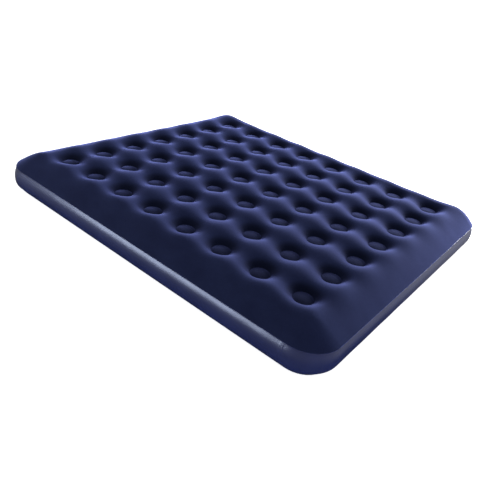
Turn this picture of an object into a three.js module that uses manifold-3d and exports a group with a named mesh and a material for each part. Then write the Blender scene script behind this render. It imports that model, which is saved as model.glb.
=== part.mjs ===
// Flocked air mattress for two people, inflated: top sheet, bottom sheet, side band, welds,
// lengthwise coil beams that tie the two sheets together, and a screw valve on the head end.
// Millimetres, +Z up, +X along the length. Origin: centre of the flat underside, on the floor.
import * as THREE from "three";
import { mergeVertices } from "three/addons/utils/BufferGeometryUtils.js";
import Module from "manifold-3d";

// ---- Driving dimensions ----
const LENGTH = 2030;
const WIDTH = 1830;
const HEIGHT = 220;
const CORNER_RADIUS = 155;
const CORNER_STEPS = 4;
const SHEET = 1;
const GAP = 0.3;

// Ties: 8 along the length by 7 across, the first one FIRST_TIE in from each side.
const TIES_ALONG = 8;
const TIES_ACROSS = 7;
const FIRST_TIE = 250;
const TIE_RADIUS = 45;
const PITCH_X = (LENGTH - 2 * FIRST_TIE) / (TIES_ALONG - 1);
const PITCH_Y = (WIDTH - 2 * FIRST_TIE) / (TIES_ACROSS - 1);
const DISC_SIDES = 6;

// Top sheet: crown, saddles between ties, pits at the ties, and its welded edge.
const SADDLE_DIP = 7;
const TOP_RIM_RADIUS = 82;
const TOP_RIM_Z = 207;
const TOP_PIT_Z = 175;
const TOP_PUFF = 10;
const TOP_EDGE_Z = 145.3;
const TOP_EDGE_INSET = 10;
const SHOULDER_STEPS = 4;

// Bottom sheet: flat on the floor, pulled up at the ties, turned up at its edge.
const BOTTOM_RIM_RADIUS = 84;
const BOTTOM_PIT_Z = 25;
const BOTTOM_PUFF = -6;
const BOTTOM_EDGE = [
  [26, 30],
  [34, 13],
  [56, 2],
  [80, 0],
];

// Side band: [inset, height] of its outside face, from the lower weld to the upper one.
const BAND_PROFILE = [
  [25, 34],
  [10, 46],
  [3, 58],
  [0, 68],
  [0, 110],
  [3, 124],
  [7, 134],
  [10, 141.3],
];
const LAP_X = 842;
const LAP_WIDTH = 18;

// Perimeter welds: [inset from, inset to, height from, height to].
const TOP_WELD = [8, 17, 141.6, 144];
const BOTTOM_WELD = [23.5, 32, 31.3, 33.7];

// Coil beams: a row of slit tubes joined by a web.
const COIL_WALL = 1;
const COIL_SLIT_DEG = 20;
const COIL_LOW = BOTTOM_PIT_Z + SHEET + GAP;
const COIL_HIGH = TOP_PIT_Z - SHEET - GAP;

// Valve: axis along -X, out of the head end, at half the band's height.
const VALVE_Y = 560;
const VALVE_Z = 89;
const VALVE_SIDES = 24;
const FLANGE_RADIUS = 28;
const FLANGE_THICKNESS = 1.6;
const SOCKET_OUTER = 20;
const SOCKET_INNER = 17.5;
const SOCKET_DEPTH = 11;
const GASKET_INNER = 18;
const GASKET_OUTER = 21.5;
const GASKET_THICKNESS = 1.2;
const COLLAR_RADIUS = 23;
const COLLAR_THICKNESS = 6;
const COLLAR_LOBES = 10;
const COLLAR_NOTCH = 1.6;
const COLLAR_TUBE_OUTER = 17.2;
const COLLAR_TUBE_DEPTH = 8;
const PORT_RADIUS = 12.6;
const SEAT_THICKNESS = 2;
const SEAT_HOLE = 2.1;
const SEAT_SPOKES = 3;
const FLAP_RADIUS = 11.3;
const FLAP_THICKNESS = 0.8;
const FLAP_STEM = 1.7;
const FLAP_TRAVEL = 2.8;
const CAP_RADIUS = 15.5;
const CAP_THICKNESS = 1.6;
const PLUG_RADIUS = 11.9;
const PLUG_TIP_RADIUS = 11.2;
const PLUG_DEPTH = 5.2;
const CAP_HINGE_Z = 17.4;
const STRAP_WIDTH = 7;
const STRAP_LENGTH = 5;
const TAB_REACH = 22;
const TAB_WIDTH = 9;

const wasm = await Module();
wasm.setup();

// ---- Materials ----
const flock = new THREE.MeshStandardMaterial({ color: 0x1d2350, roughness: 0.95, metalness: 0 });
const vinyl = new THREE.MeshStandardMaterial({ color: 0x2a3268, roughness: 0.35, metalness: 0 });
const clearVinyl = new THREE.MeshStandardMaterial({ color: 0x59618c, roughness: 0.4, metalness: 0 });
const valvePlastic = new THREE.MeshStandardMaterial({ color: 0x20264a, roughness: 0.5, metalness: 0 });
const seal = new THREE.MeshStandardMaterial({ color: 0xb9bcc4, roughness: 0.6, metalness: 0 });

// ---- Mesh helpers ----
const vec = (x, y, z) => new THREE.Vector3(x, y, z);

const facing = (triangle) => {
  const [a, b, c] = triangle;
  return (b.x - a.x) * (c.y - a.y) - (b.y - a.y) * (c.x - a.x);
};

// Triangles between two loops with the same number of points, the outer one first.
// Where a loop's points coincide, as at a sharp corner, the empty triangles are left out.
const strip = (outer, inner) => {
  const found = [];
  outer.forEach((a, k) => {
    const next = (k + 1) % outer.length;
    found.push([a, outer[next], inner[next]], [a, inner[next], inner[k]]);
  });
  return found.filter(([a, b, c]) => !a.equals(b) && !b.equals(c) && !c.equals(a));
};

// A polygon, perhaps with a hole, as upward-facing triangles through its own 3-D points.
const patch = (boundary, hole = []) => {
  const flat = (loop) => loop.map((p) => new THREE.Vector2(p.x, p.y));
  const points = [...boundary, ...hole];
  const faces = THREE.ShapeUtils.triangulateShape(flat(boundary), hole.length ? [flat(hole)] : []);
  return faces.map(([a, b, c]) => {
    const triangle = [points[a], points[b], points[c]];
    return facing(triangle) < 0 ? triangle.reverse() : triangle;
  });
};

const geometryOf = (triangles) => new THREE.BufferGeometry().setFromPoints(triangles.flat());

// A loop round the mattress at a given inset: side points at the stops, arcs at the corners.
const perimeter = (inset, z, stopsX, stopsY, radius = Math.max(CORNER_RADIUS - inset, 0)) => {
  const hx = LENGTH / 2 - inset;
  const hy = WIDTH / 2 - inset;
  const corner = (sx, sy, start) =>
    Array.from({ length: CORNER_STEPS + 1 }, (_, k) => {
      const a = start + (k / CORNER_STEPS) * (Math.PI / 2);
      return vec(sx * (hx - radius) + radius * Math.cos(a), sy * (hy - radius) + radius * Math.sin(a), z);
    });
  return [
    ...stopsX.map((x) => vec(x, -hy, z)),
    ...corner(1, -1, -Math.PI / 2),
    ...stopsY.map((y) => vec(hx, y, z)),
    ...corner(1, 1, 0),
    ...stopsX.toReversed().map((x) => vec(x, hy, z)),
    ...corner(-1, 1, Math.PI / 2),
    ...stopsY.toReversed().map((y) => vec(-hx, y, z)),
    ...corner(-1, -1, Math.PI),
  ];
};

// ---- Sheets ----
const halfStops = (count, pitch) =>
  Array.from({ length: 2 * count - 1 }, (_, k) => (k + 1 - count) * (pitch / 2));
const STOPS_X = halfStops(TIES_ALONG, PITCH_X);
const STOPS_Y = halfStops(TIES_ACROSS, PITCH_Y);
const FIELD_X = (TIES_ALONG * PITCH_X) / 2;
const FIELD_Y = (TIES_ACROSS * PITCH_Y) / 2;

const tieX = (i) => (i - (TIES_ALONG - 1) / 2) * PITCH_X;
const tieY = (j) => (j - (TIES_ACROSS - 1) / 2) * PITCH_Y;

// The field's own edge: corners of the tie cells at crownZ, middles of their sides at saddleZ.
const fieldEdge = (crownZ, saddleZ) => {
  const alternate = (k) => (k % 2 ? crownZ : saddleZ);
  const side = (stops, place) => stops.map((s, k) => place(s, alternate(k)));
  const corner = (x, y) => Array.from({ length: CORNER_STEPS + 1 }, () => vec(x, y, crownZ));
  return [
    ...side(STOPS_X, (x, z) => vec(x, -FIELD_Y, z)),
    ...corner(FIELD_X, -FIELD_Y),
    ...side(STOPS_Y, (y, z) => vec(FIELD_X, y, z)),
    ...corner(FIELD_X, FIELD_Y),
    ...side(STOPS_X, (x, z) => vec(x, FIELD_Y, z)).reverse(),
    ...corner(-FIELD_X, FIELD_Y),
    ...side(STOPS_Y, (y, z) => vec(-FIELD_X, y, z)).reverse(),
    ...corner(-FIELD_X, -FIELD_Y),
  ];
};

// One tie's cell: its eight edge points, the rim of the pit, and the weld disc, puffed at its centre.
const cell = (x, y, shape) => {
  const around = [
    [1, 0, shape.saddleZ],
    [1, 1, shape.crownZ],
    [0, 1, shape.saddleZ],
    [-1, 1, shape.crownZ],
    [-1, 0, shape.saddleZ],
    [-1, -1, shape.crownZ],
    [0, -1, shape.saddleZ],
    [1, -1, shape.crownZ],
  ];
  const edge = around.map(([dx, dy, z]) => vec(x + (dx * PITCH_X) / 2, y + (dy * PITCH_Y) / 2, z));
  const ring = (radius, z) =>
    Array.from({ length: DISC_SIDES }, (_, k) => {
      const a = (k / DISC_SIDES) * 2 * Math.PI;
      return vec(x + radius * Math.cos(a), y + radius * Math.sin(a), z);
    });
  const rim = ring(shape.rimRadius, shape.rimZ);
  const disc = ring(TIE_RADIUS, shape.pitZ);
  const centre = vec(x, y, shape.pitZ + shape.puff);
  const fan = disc.map((p, k) => [p, disc[(k + 1) % disc.length], centre]);
  return [...patch(edge, rim), ...strip(rim, disc), ...fan];
};

// A sheet as a closed shell: its surface, the same surface moved by its thickness, and its edge.
const sheet = (loops, shape, thickness) => {
  const surface = loops.slice(1).flatMap((inner, k) => strip(loops[k], inner));
  for (let i = 0; i < TIES_ALONG; i += 1) {
    for (let j = 0; j < TIES_ACROSS; j += 1) surface.push(...cell(tieX(i), tieY(j), shape));
  }
  const moved = (points, dz) => points.map((p) => vec(p.x, p.y, p.z + dz));
  const high = Math.max(thickness, 0);
  const low = Math.min(thickness, 0);
  return geometryOf([
    ...surface.map((t) => moved(t, high)),
    ...surface.map((t) => moved(t, low).reverse()),
    ...strip(moved(loops[0], low), moved(loops[0], high)),
  ]);
};

const topSheet = () => {
  const shape = {
    crownZ: HEIGHT,
    saddleZ: HEIGHT - SADDLE_DIP,
    rimRadius: TOP_RIM_RADIUS,
    rimZ: TOP_RIM_Z,
    pitZ: TOP_PIT_Z,
    puff: TOP_PUFF,
  };
  const fieldInset = FIRST_TIE - PITCH_Y / 2;
  const loops = Array.from({ length: SHOULDER_STEPS }, (_, k) => {
    const t = k / SHOULDER_STEPS;
    const inset = TOP_EDGE_INSET + t * (fieldInset - TOP_EDGE_INSET);
    const z = TOP_EDGE_Z + (HEIGHT - TOP_EDGE_Z) * Math.sin((t * Math.PI) / 2);
    return perimeter(inset, z, STOPS_X, STOPS_Y);
  });
  return sheet([...loops, fieldEdge(shape.crownZ, shape.saddleZ)], shape, -SHEET);
};

const bottomSheet = () => {
  const shape = {
    crownZ: 0,
    saddleZ: 0,
    rimRadius: BOTTOM_RIM_RADIUS,
    rimZ: 0,
    pitZ: BOTTOM_PIT_Z,
    puff: BOTTOM_PUFF,
  };
  const loops = BOTTOM_EDGE.map(([inset, z]) => perimeter(inset, z, STOPS_X, STOPS_Y));
  return sheet([...loops, fieldEdge(0, 0)], shape, SHEET);
};

// ---- Rings round the mattress ----
// A closed section of [inset, height] points, swept round the perimeter.
const ringOf = (section) => {
  const loops = section.map(([inset, z]) => perimeter(inset, z, [0], [0], CORNER_RADIUS - inset));
  return geometryOf(loops.flatMap((loop, k) => strip(loop, loops[(k + 1) % loops.length])));
};

const weldRing = ([from, to, low, high]) =>
  ringOf([
    [from, low],
    [from, high],
    [to, high],
    [to, low],
  ]);

const bandSection = (offset, profile = BAND_PROFILE) => [
  ...profile.map(([inset, z]) => [inset + offset, z]),
  ...profile.toReversed().map(([inset, z]) => [inset + offset + SHEET, z]),
];

// ---- Joining and cutting ----
const solidOf = (geometry) => {
  const plain = geometry.index ? geometry.toNonIndexed() : geometry.clone();
  plain.deleteAttribute("normal");
  plain.deleteAttribute("uv");
  const merged = mergeVertices(plain, 1e-3);
  const vertProperties = merged.attributes.position.array;
  const triVerts = new Uint32Array(merged.index.array);
  return new wasm.Manifold(new wasm.Mesh({ numProp: 3, vertProperties, triVerts }));
};

const geometryFrom = (solid) => {
  const mesh = solid.getMesh();
  const geometry = new THREE.BufferGeometry();
  geometry.setAttribute("position", new THREE.BufferAttribute(mesh.vertProperties, 3));
  geometry.setIndex(new THREE.BufferAttribute(mesh.triVerts, 1));
  return geometry;
};

const joined = (...geometries) => geometryFrom(geometries.map(solidOf).reduce((a, b) => a.add(b)));

// The band, with a round hole for the valve's socket.
const sideBand = () => {
  const hole = new THREE.CylinderGeometry(SOCKET_OUTER + 2 * GAP, SOCKET_OUTER + 2 * GAP, 20, VALVE_SIDES);
  hole.rotateZ(Math.PI / 2).translate(-LENGTH / 2, VALVE_Y, VALVE_Z);
  return geometryFrom(solidOf(ringOf(bandSection(0))).subtract(solidOf(hole)));
};

// The strip behind the band's two ends, on the -Y side near the foot end.
const bandLap = () => {
  const section = bandSection(SHEET + GAP, BAND_PROFILE.slice(1, -1));
  const outline = new THREE.Shape(section.map(([inset, z]) => new THREE.Vector2(inset - WIDTH / 2, z)));
  const geometry = new THREE.ExtrudeGeometry(outline, { depth: LAP_WIDTH, bevelEnabled: false });
  geometry.rotateX(Math.PI / 2).rotateZ(Math.PI / 2);
  return geometry.translate(LAP_X - LAP_WIDTH / 2, 0, 0);
};

// ---- Coil beams ----
// Plan outline of one beam: eight slit tubes in a row, joined by a web, as one closed line.
const beamOutline = () => {
  const inner = TIE_RADIUS - COIL_WALL;
  const web = COIL_WALL / 2;
  const slit = COIL_SLIT_DEG;
  const at = (cx, radius, deg) => {
    const a = (deg * Math.PI) / 180;
    return new THREE.Vector2(cx + radius * Math.cos(a), radius * Math.sin(a));
  };
  const front = (i) => [
    at(tieX(i), TIE_RADIUS, 180).add(new THREE.Vector2(0, -web)),
    ...[225, 270, 315].map((deg) => at(tieX(i), TIE_RADIUS, deg)),
    at(tieX(i), TIE_RADIUS, 0).add(new THREE.Vector2(0, -web)),
  ];
  const back = (i) => [
    at(tieX(i), TIE_RADIUS, 0).add(new THREE.Vector2(0, web)),
    ...[45, 90 - slit].map((deg) => at(tieX(i), TIE_RADIUS, deg)),
    ...[90 - slit, 45, 0, -45, -90, -135, -180, -225, -270 + slit].map((deg) => at(tieX(i), inner, deg)),
    ...[90 + slit, 135].map((deg) => at(tieX(i), TIE_RADIUS, deg)),
    at(tieX(i), TIE_RADIUS, 180).add(new THREE.Vector2(0, web)),
  ];
  const order = Array.from({ length: TIES_ALONG }, (_, i) => i);
  return [...order.flatMap(front), ...order.toReversed().flatMap(back)];
};

const coilBeam = () => {
  const shape = new THREE.Shape(beamOutline());
  return new THREE.ExtrudeGeometry(shape, { depth: COIL_HIGH - COIL_LOW, bevelEnabled: false });
};

// ---- Valve, drawn about the local Y axis, which points out of the mattress ----
const FLANGE_TOP = GAP + FLANGE_THICKNESS;
const GASKET_LOW = FLANGE_TOP + GAP;
const COLLAR_LOW = GASKET_LOW + GASKET_THICKNESS + GAP;
const COLLAR_TOP = COLLAR_LOW + COLLAR_THICKNESS;
const CAP_LOW = COLLAR_TOP + GAP;
const CAP_TOP = CAP_LOW + CAP_THICKNESS;
const SEAT_LOW = GAP - COLLAR_TUBE_DEPTH;

const turned = (profile, sides = VALVE_SIDES) => {
  const closed = profile[0][0] === 0 ? profile : [...profile, profile[0]];
  return new THREE.LatheGeometry(closed.map(([r, y]) => new THREE.Vector2(r, y)), sides);
};

// A flat shape, drawn in the local X-Z plane, between two heights along the valve's axis.
const plate = (shape, low, high, curveSegments = 6) => {
  const geometry = new THREE.ExtrudeGeometry(shape, { depth: high - low, bevelEnabled: false, curveSegments });
  return geometry.rotateX(Math.PI / 2).translate(0, high, 0);
};

const valveBase = () =>
  turned([
    [SOCKET_INNER, -SOCKET_DEPTH],
    [SOCKET_OUTER, -SOCKET_DEPTH],
    [SOCKET_OUTER, GAP],
    [FLANGE_RADIUS, GAP],
    [FLANGE_RADIUS, FLANGE_TOP],
    [SOCKET_INNER, FLANGE_TOP],
  ]);

const valveGasket = () =>
  turned([
    [GASKET_INNER, GASKET_LOW],
    [GASKET_OUTER, GASKET_LOW],
    [GASKET_OUTER, GASKET_LOW + GASKET_THICKNESS],
    [GASKET_INNER, GASKET_LOW + GASKET_THICKNESS],
  ]);

// Screw collar: a lobed head for the fingers, and the tube that screws into the socket.
const valveCollar = () => {
  const perLobe = 4;
  const outline = Array.from({ length: COLLAR_LOBES * perLobe }, (_, k) => {
    const a = (k / (COLLAR_LOBES * perLobe)) * 2 * Math.PI + Math.PI / 2;
    const radius = k % perLobe === 2 ? COLLAR_RADIUS - COLLAR_NOTCH : COLLAR_RADIUS;
    return new THREE.Vector2(radius * Math.cos(a), radius * Math.sin(a));
  });
  const head = new THREE.Shape(outline);
  head.holes.push(new THREE.Path().absarc(0, 0, PORT_RADIUS + 0.4, 0, 2 * Math.PI));
  const tube = turned([
    [PORT_RADIUS, -COLLAR_TUBE_DEPTH],
    [COLLAR_TUBE_OUTER, -COLLAR_TUBE_DEPTH],
    [COLLAR_TUBE_OUTER, COLLAR_TOP - 1],
    [PORT_RADIUS, COLLAR_TOP - 1],
  ]);
  return joined(plate(head, COLLAR_LOW, COLLAR_TOP, VALVE_SIDES / 2), tube);
};

// Spoked seat for the flap, pressed into the collar's tube.
const flapSeat = () => {
  const outer = PORT_RADIUS - GAP;
  const shape = new THREE.Shape().absarc(0, 0, outer * Math.cos(Math.PI / VALVE_SIDES), 0, 2 * Math.PI);
  shape.holes.push(new THREE.Path().absarc(0, 0, SEAT_HOLE, 0, 2 * Math.PI));
  const spoke = Math.PI / 6;
  for (let k = 0; k < SEAT_SPOKES; k += 1) {
    const from = (k / SEAT_SPOKES) * 2 * Math.PI + spoke / 2;
    const to = ((k + 1) / SEAT_SPOKES) * 2 * Math.PI - spoke / 2;
    const port = new THREE.Path()
      .absarc(0, 0, outer - 2, from, to)
      .absarc(0, 0, SEAT_HOLE + 2, to, from, true);
    shape.holes.push(port);
  }
  return plate(shape, SEAT_LOW, SEAT_LOW + SEAT_THICKNESS);
};

// Umbrella flap: a thin disc inside the seat, and a stem through it that ends in a barb.
const checkFlap = () => {
  const discTop = SEAT_LOW - GAP;
  const barb = SEAT_LOW + SEAT_THICKNESS + FLAP_TRAVEL;
  return turned(
    [
      [0, discTop - FLAP_THICKNESS],
      [FLAP_RADIUS, discTop - FLAP_THICKNESS],
      [FLAP_RADIUS, discTop],
      [FLAP_STEM, discTop],
      [FLAP_STEM, barb],
      [FLAP_STEM + 1.3, barb],
      [FLAP_STEM * 0.6, barb + 1.8],
      [0, barb + 1.8],
    ],
    16,
  );
};

const strapShape = (low, high, width) =>
  new THREE.Shape([
    new THREE.Vector2(-width / 2, low),
    new THREE.Vector2(width / 2, low),
    new THREE.Vector2(width / 2, high),
    new THREE.Vector2(-width / 2, high),
  ]);

// Inflation cap: a lid with a tapered plug, a pull tab below and a hinge ear above.
const inflateCap = () => {
  const lid = plate(new THREE.Shape().absarc(0, 0, CAP_RADIUS, 0, 2 * Math.PI), CAP_LOW, CAP_TOP, 12);
  const ear = plate(strapShape(0, CAP_HINGE_Z - GAP / 2, STRAP_WIDTH), CAP_LOW, CAP_TOP);
  const tab = plate(strapShape(-TAB_REACH, 0, TAB_WIDTH), CAP_LOW, CAP_TOP);
  const plug = turned([
    [0, CAP_LOW - PLUG_DEPTH],
    [PLUG_TIP_RADIUS, CAP_LOW - PLUG_DEPTH],
    [PLUG_RADIUS, CAP_LOW + 0.5],
    [0, CAP_LOW + 0.5],
  ]);
  return joined(lid, ear, tab, plug);
};

// The strap's end that is fixed to the collar, above the hinge line.
const capStrap = () =>
  plate(strapShape(CAP_HINGE_Z + GAP / 2, CAP_HINGE_Z + GAP / 2 + STRAP_LENGTH, STRAP_WIDTH), CAP_LOW, CAP_TOP);

// ---- Assembly ----
const named = (name, geometry, material) => {
  const mesh = new THREE.Mesh(geometry, material);
  mesh.name = name;
  return mesh;
};

const mattress = new THREE.Group();
mattress.add(
  named("top_sheet", topSheet(), flock),
  named("bottom_sheet", bottomSheet(), vinyl),
  named("side_band", sideBand(), vinyl),
  named("side_band_lap_strip", bandLap(), vinyl),
  named("top_perimeter_weld", weldRing(TOP_WELD), vinyl),
  named("bottom_perimeter_weld", weldRing(BOTTOM_WELD), vinyl),
);
for (let j = 0; j < TIES_ACROSS; j += 1) {
  const beam = named(`coil_beam_${j + 1}`, coilBeam(), clearVinyl);
  beam.position.set(0, tieY(j), COIL_LOW);
  mattress.add(beam);
}

const valve = new THREE.Group();
valve.add(
  named("valve_base", valveBase(), valvePlastic),
  named("valve_gasket", valveGasket(), seal),
  named("valve_collar", valveCollar(), valvePlastic),
  named("flap_seat", flapSeat(), valvePlastic),
  named("check_flap", checkFlap(), seal),
  named("inflate_cap", inflateCap(), valvePlastic),
  named("cap_strap", capStrap(), valvePlastic),
);
valve.rotation.z = Math.PI / 2;
valve.position.set(-LENGTH / 2, VALVE_Y, VALVE_Z);
mattress.add(valve);

export default mattress;
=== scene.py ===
"""Flocked air mattress: film pieces shaped by inner pressure, and a screw valve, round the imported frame."""
import math

import bmesh
import bpy
import numpy as np
from mathutils import Matrix, Vector


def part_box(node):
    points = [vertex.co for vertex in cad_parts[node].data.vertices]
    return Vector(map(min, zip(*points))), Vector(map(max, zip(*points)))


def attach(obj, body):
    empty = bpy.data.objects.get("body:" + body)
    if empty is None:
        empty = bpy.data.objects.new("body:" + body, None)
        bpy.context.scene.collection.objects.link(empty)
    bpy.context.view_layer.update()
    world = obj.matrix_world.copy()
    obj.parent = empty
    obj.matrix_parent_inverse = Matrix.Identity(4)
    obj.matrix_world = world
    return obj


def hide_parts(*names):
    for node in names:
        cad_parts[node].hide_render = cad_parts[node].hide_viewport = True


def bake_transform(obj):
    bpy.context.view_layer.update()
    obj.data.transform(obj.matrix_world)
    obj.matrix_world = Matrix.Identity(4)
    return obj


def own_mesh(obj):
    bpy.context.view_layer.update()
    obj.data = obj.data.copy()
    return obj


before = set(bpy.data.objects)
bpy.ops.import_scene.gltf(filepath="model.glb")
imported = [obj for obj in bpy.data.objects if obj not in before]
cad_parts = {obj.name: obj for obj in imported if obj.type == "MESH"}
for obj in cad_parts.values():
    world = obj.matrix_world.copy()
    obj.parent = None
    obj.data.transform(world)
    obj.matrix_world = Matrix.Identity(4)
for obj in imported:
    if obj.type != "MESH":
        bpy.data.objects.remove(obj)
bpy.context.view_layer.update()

# ---- Sizes, in metres, in the row frame ----
MM = 0.001
LENGTH, WIDTH, HEIGHT = 2.030, 1.830, 0.220
CORNER_R = 0.155
CORE_X, CORE_Y = LENGTH / 2 - CORNER_R, WIDTH / 2 - CORNER_R  # where the straight sides end
FILM = 0.0008
FLOCKED_FILM = FILM * 1.4

# The grid of ties between the top and the underside, each with a round disc at its ends
TIES_X, TIES_Y = 8, 7
FIRST_TIE = 0.250
PITCH_X = (LENGTH - 2 * FIRST_TIE) / (TIES_X - 1)
PITCH_Y = (WIDTH - 2 * FIRST_TIE) / (TIES_Y - 1)
FIELD_X, FIELD_Y = TIES_X * PITCH_X / 2, TIES_Y * PITCH_Y / 2
TIE_XS = [(i - (TIES_X - 1) / 2) * PITCH_X for i in range(TIES_X)]
TIE_YS = [(j - (TIES_Y - 1) / 2) * PITCH_Y for j in range(TIES_Y)]
DISC_R = 0.045

# The top
PIT_DEPTH, PIT_VARIES = 0.0451, 0.0008  # a pit is up to twice PIT_VARIES shallower than PIT_DEPTH
VARIES_WITHIN, VARIES_FADE = 0.095, 0.050  # the radius round a tie where that ends, and how it fades
BUMP = 0.0085  # how far the crowns between four ties stand above the saddles, beyond what pressure gives
DOME = 0.0055  # the disc inside the ring weld puffs up by this much
PUCKER, PUCKER_START, PUCKER_REACH = 0.0005, 0.006, 0.020  # small folds round a disc
RIPPLE, RIPPLE_START = 0.0005, 0.1  # a faint unevenness all over, growing inwards from the outline
RIPPLE_ROOM = 0.0004  # taken off the height, to make room for the ripple
SEAM_Z, SEAM_INSET = 0.1448, 0.0120
SHOULDER = 0.168  # the distance from the seam in which the top rises to its full height
CORNER_REACH, CORNER_FULLER = 0.36, 0.45  # the two corners on the +Y side are blown up fuller than the others
FADE = 0.072  # how far a pit's dent spreads into the margin, from FADE_FROM outside the last row of ties
FADE_FROM = 0.050
LIP = ((0.0012, 0.1432), (0.0017, 0.1412))  # the edge turned down over the band: how far out, and its height

# The underside
BOTTOM_RIM = 0.086
BOTTOM_PIT = 0.0255
BOTTOM_DOME = 0.0065
BOTTOM_EDGE = np.array(  # [inset, height] of the edge, from the floor out to the seam
    [(0.140, 0.0), (0.100, 0.0), (0.078, 0.0001), (0.066, 0.0006), (0.056, 0.002), (0.047, 0.005)]
    + [(0.040, 0.0098), (0.0345, 0.016), (0.030, 0.0225), (0.027, 0.0285), (0.0255, 0.0315)]
)

# The side band
BAND_FOOT, BAND_TOP = 0.0312, 0.1425
BAND_PROFILE = np.array(  # [inset, height] from the bottom seam up to the top seam
    [(0.0262, BAND_FOOT), (0.0190, 0.0352), (0.0120, 0.0410), (0.0068, 0.0482), (0.0032, 0.0565)]
    + [(0.0011, 0.0660), (0.0002, 0.0760), (0.0000, 0.0860), (0.0003, 0.0950), (0.0011, 0.1030)]
    + [(0.0024, 0.1105), (0.0042, 0.1175), (0.0064, 0.1240), (0.0089, 0.1300), (0.0114, 0.1358)]
    + [(0.0139, BAND_TOP)]
)
BAND_RELIEF_WITHIN = 0.02  # the inset past which the band's relief is gone
SLACK, SLACK_FROM, SLACK_FADE = 0.0006, 0.032, 0.020  # shallow dents between the seams
GATHER = 0.0005  # small upright folds under the top seam, between the heights below
GATHER_LOW, GATHER_LOW_FADE, GATHER_HIGH, GATHER_HIGH_FADE = 0.118, 0.015, 0.1428, 0.006
LAP_X, LAP_HALF, LAP_RISE, LAP_FADE = 0.842, 0.011, 0.0007, 0.003  # where the band's ends lap
STRIP_INSET, STRIP_COLUMNS = 0.0016, 7  # the strip behind the lap

# The beams and the seams' beads
BEAM_WALL, BEAM_WEB, BEAM_SLIT = 0.001, 0.0005, 16  # the slit is half its opening, in degrees
BEAM_LEVELS, BEAM_WAIST = 7, 0.05
TOP_BEAD_INSET, TOP_BEAD_Z, TOP_BEAD_R = 0.0107, 0.1397, 0.0012
BOTTOM_BEAD_INSET, BOTTOM_BEAD_R = 0.0258, 0.0014

# The valve, whose own heights run out of the mattress along -X
VALVE = Vector((-LENGTH / 2, 0.560, 0.089))
VALVE_FRAME = Matrix.Translation(VALVE) @ Matrix(((0, 0, -1, 0), (1, 0, 0, 0), (0, -1, 0, 0), (0, 0, 0, 1)))
FLAT_R, FLAT_FADE, FLAT_HEIGHT = 0.030, 0.014, 0.0002  # the band lies flat behind the flange
FOLD, FOLD_FROM, FOLD_START, FOLD_REACH = 0.0007, 0.029, 0.006, 0.018  # its folds round the flange
HOLE_R, HOLE_HALF = 0.0206, 0.020
COLLAR_TOP, CAP_LOW, CAP_TOP = 9.7 * MM, 10.0 * MM, 11.6 * MM
TUBE_R, TUBE_TOP_MM, TUBE_END_MM, THREAD_PITCH = 16.9 * MM, 3.4, -7.6, 4.5 * MM
THREAD_FROM, THREAD_HEIGHT = 16.0 * MM, 0.0003
NOTCH_FROM, NOTCH_DEPTH, NOTCHES = 0.0205, 0.0016, 10
SPOKES = 3
HINGE_Y, HINGE_HALF, HINGE_BEND = 17.4 * MM, 3.5 * MM, 0.0006

# Meshing
WELD = 2e-5  # points nearer than this are the same point
CORNER_STEPS, BAND_CORNER_STEPS, BAND_STEPS = 10, 16, 3
TOP_RINGS = (0.012, 0.022, 0.031, 0.038, 0.0427, 0.045, 0.0473, 0.0515, 0.057, 0.064, 0.072, 0.081, 0.092)
TOP_MARGIN = (0.131, 0.121, 0.110, 0.098, 0.086, 0.074, 0.062, 0.051, 0.041, 0.032, 0.025, 0.0195, 0.0155)
BOTTOM_RINGS = (0.018, 0.032, 0.0415, 0.045, 0.0485, 0.055, 0.064, 0.075, BOTTOM_RIM)


# ---- Mesh helpers ----
def new_object(name, verts, faces, smooth=True):
    mesh = bpy.data.meshes.new(name)
    mesh.from_pydata([tuple(v) for v in verts], [], faces)
    mesh.validate()
    mesh.update()
    mesh.polygons.foreach_set("use_smooth", [smooth] * len(mesh.polygons))
    obj = bpy.data.objects.new(name, mesh)
    bpy.context.scene.collection.objects.link(obj)
    return obj


def outward(obj):
    """Turns every face's normal out of the closed shape."""
    bm = bmesh.new()
    bm.from_mesh(obj.data)
    bmesh.ops.recalc_face_normals(bm, faces=bm.faces)
    bm.to_mesh(obj.data)
    bm.free()
    return obj


def joined(name, *objs):
    """One mesh object from several, which may overlap."""
    bm = bmesh.new()
    for obj in objs:
        bm.from_mesh(obj.data)
    mesh = bpy.data.meshes.new(name)
    bm.to_mesh(mesh)
    bm.free()
    result = bpy.data.objects.new(name, mesh)
    bpy.context.scene.collection.objects.link(result)
    for obj in objs:
        bpy.data.objects.remove(obj)
    return result


def apply_modifiers(obj):
    graph = bpy.context.evaluated_depsgraph_get()
    mesh = bpy.data.meshes.new_from_object(obj.evaluated_get(graph))
    old = obj.data
    obj.modifiers.clear()
    obj.data = mesh
    mesh.name = obj.name
    bpy.data.meshes.remove(old)
    return obj


def solidify(obj, thickness):
    """Gives a surface its thickness, behind its faces."""
    mod = obj.modifiers.new("film", "SOLIDIFY")
    mod.thickness = thickness
    mod.offset = -1
    mod.use_even_offset = True
    return apply_modifiers(obj)


def bevel(obj, width):
    mod = obj.modifiers.new("edge", "BEVEL")
    mod.width = width
    mod.segments = 2
    mod.limit_method = "ANGLE"
    mod.angle_limit = math.radians(35)
    return apply_modifiers(obj)


def merged(verts, faces):
    """Joins points that coincide, and drops the empty faces that leaves."""
    bm = bmesh.new()
    points = [bm.verts.new(v) for v in verts]
    for face in faces:
        ring = [v for k, v in enumerate(face) if v != face[k - 1]]
        if len(ring) > 2:
            bm.faces.new([points[v] for v in ring])
    bmesh.ops.remove_doubles(bm, verts=bm.verts, dist=WELD)
    loose = [v for v in bm.verts if not v.link_faces]
    bmesh.ops.delete(bm, geom=loose, context="VERTS")
    bm.verts.index_update()
    result = [tuple(v.co) for v in bm.verts], [[v.index for v in f.verts] for f in bm.faces]
    bm.free()
    return result


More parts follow.
